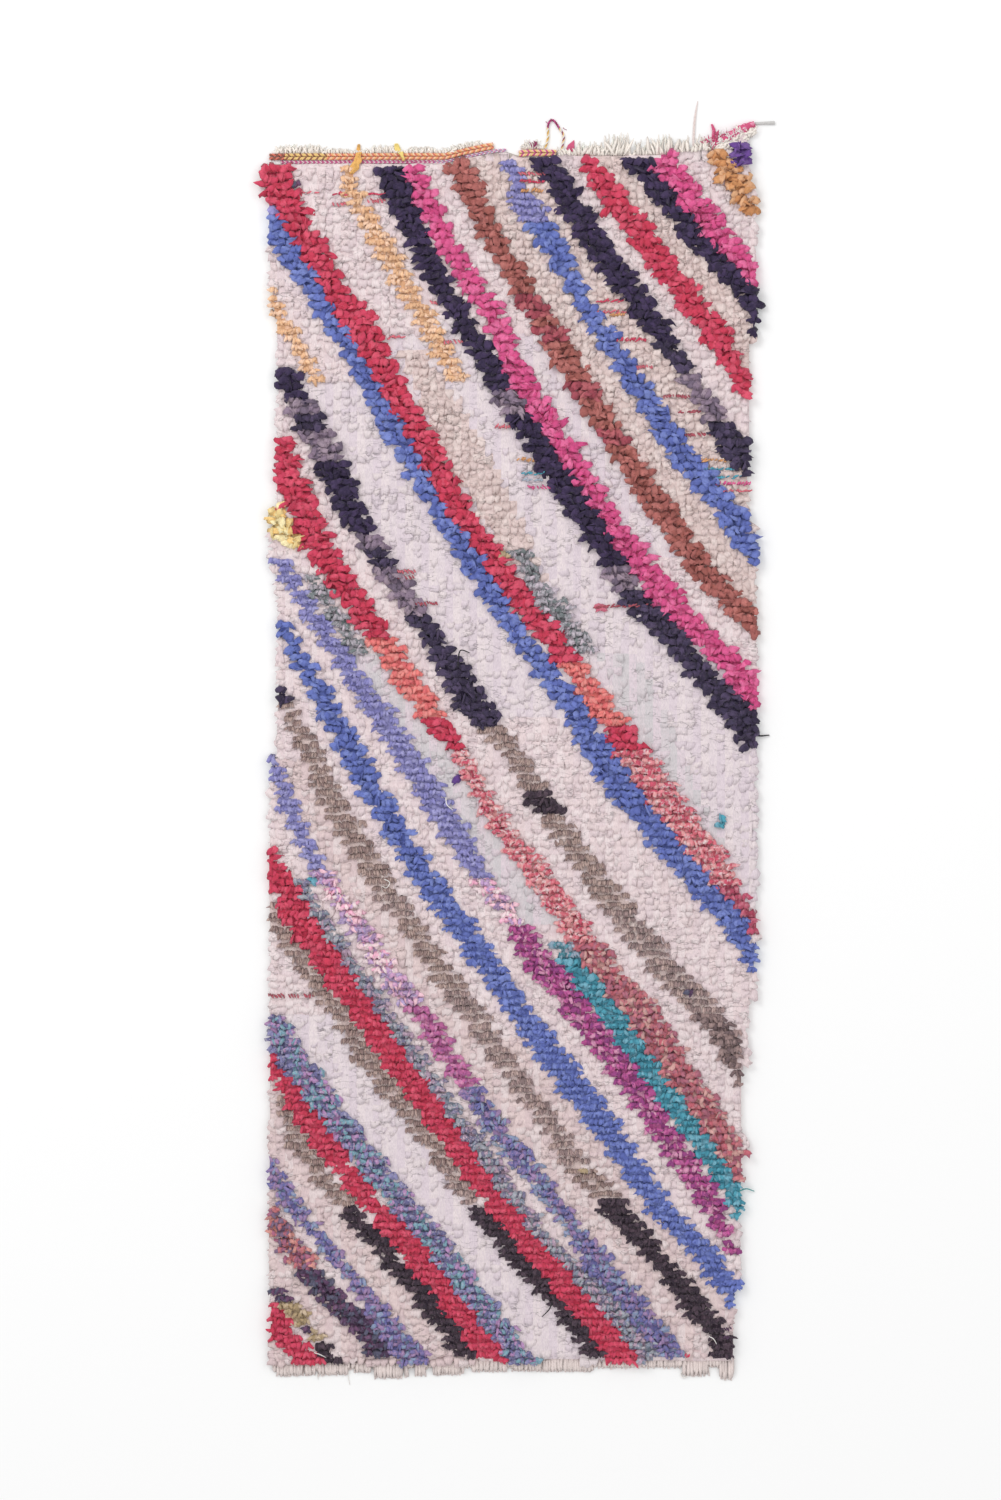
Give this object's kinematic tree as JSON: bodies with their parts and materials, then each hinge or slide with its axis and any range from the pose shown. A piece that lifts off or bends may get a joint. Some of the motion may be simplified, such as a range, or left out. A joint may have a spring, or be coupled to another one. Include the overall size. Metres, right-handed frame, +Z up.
{
  "type": "boucherouite rug",
  "caption": "Hand-knotted rag runner lying flat: diagonal stripes of longer rag and wool pile on a pale ground, twined heading, warp fringes.",
  "frame": {"origin": "on the floor under the middle of the rug's outer size, its fringes and tails included", "axes": "+Y along the warp towards the head with the twined heading, +Z up from the floor, +X to the right with the head up"},
  "size_m": [0.9278, 2.3108, 0.0203],
  "materials": {
    "ground_rag": "soft matte cotton rag pile, off-white",
    "foundation": "plain weave of cotton warp and weft, matte",
    "red_rag": "matte cotton jersey rag",
    "blue_rag": "matte cotton jersey rag",
    "dark_rag": "matte cotton jersey rag, navy to black",
    "pink_rag": "matte cotton jersey rag",
    "warm_rag": "matte cotton rag, ochre, orange and brown",
    "violet_rag": "matte cotton rag, periwinkle to violet",
    "mixed_rag": "printed cotton rag of mixed colours",
    "wool": "hand-spun wool pile, taupe to black",
    "twined_yarn": "twined cotton yarn, orange and rust",
    "thin_twining": "thin twined yarn, pink and lavender",
    "warp_cotton": "unbleached cotton warp yarn, frayed",
    "loop_yarn": "twisted yarn of yellow, rust and plum",
    "pink_wrap": "pink rag wound tight, with white threads",
    "grey_yarn": "pale grey yarn",
    "yellow_rag": "matte yellow cotton rag"
  },
  "bodies": {
    "root": {"pile_field": "ground_rag", "heading_cord_orange": "twined_yarn", "heading_cord_pink": "thin_twining", "heading_cord_short": "twined_yarn", "warp_ends_left": "warp_cotton", "warp_ends_middle": "warp_cotton", "warp_fringe_right": "warp_cotton", "warp_fringe_foot": "warp_cotton", "yarn_loop": "loop_yarn", "corner_tail": "pink_wrap", "corner_tail_end": "grey_yarn", "rag_tie": "yellow_rag", "rag_tie_small": "yellow_rag", "rag_tip": "pink_rag"}
  },
  "joints": []
}
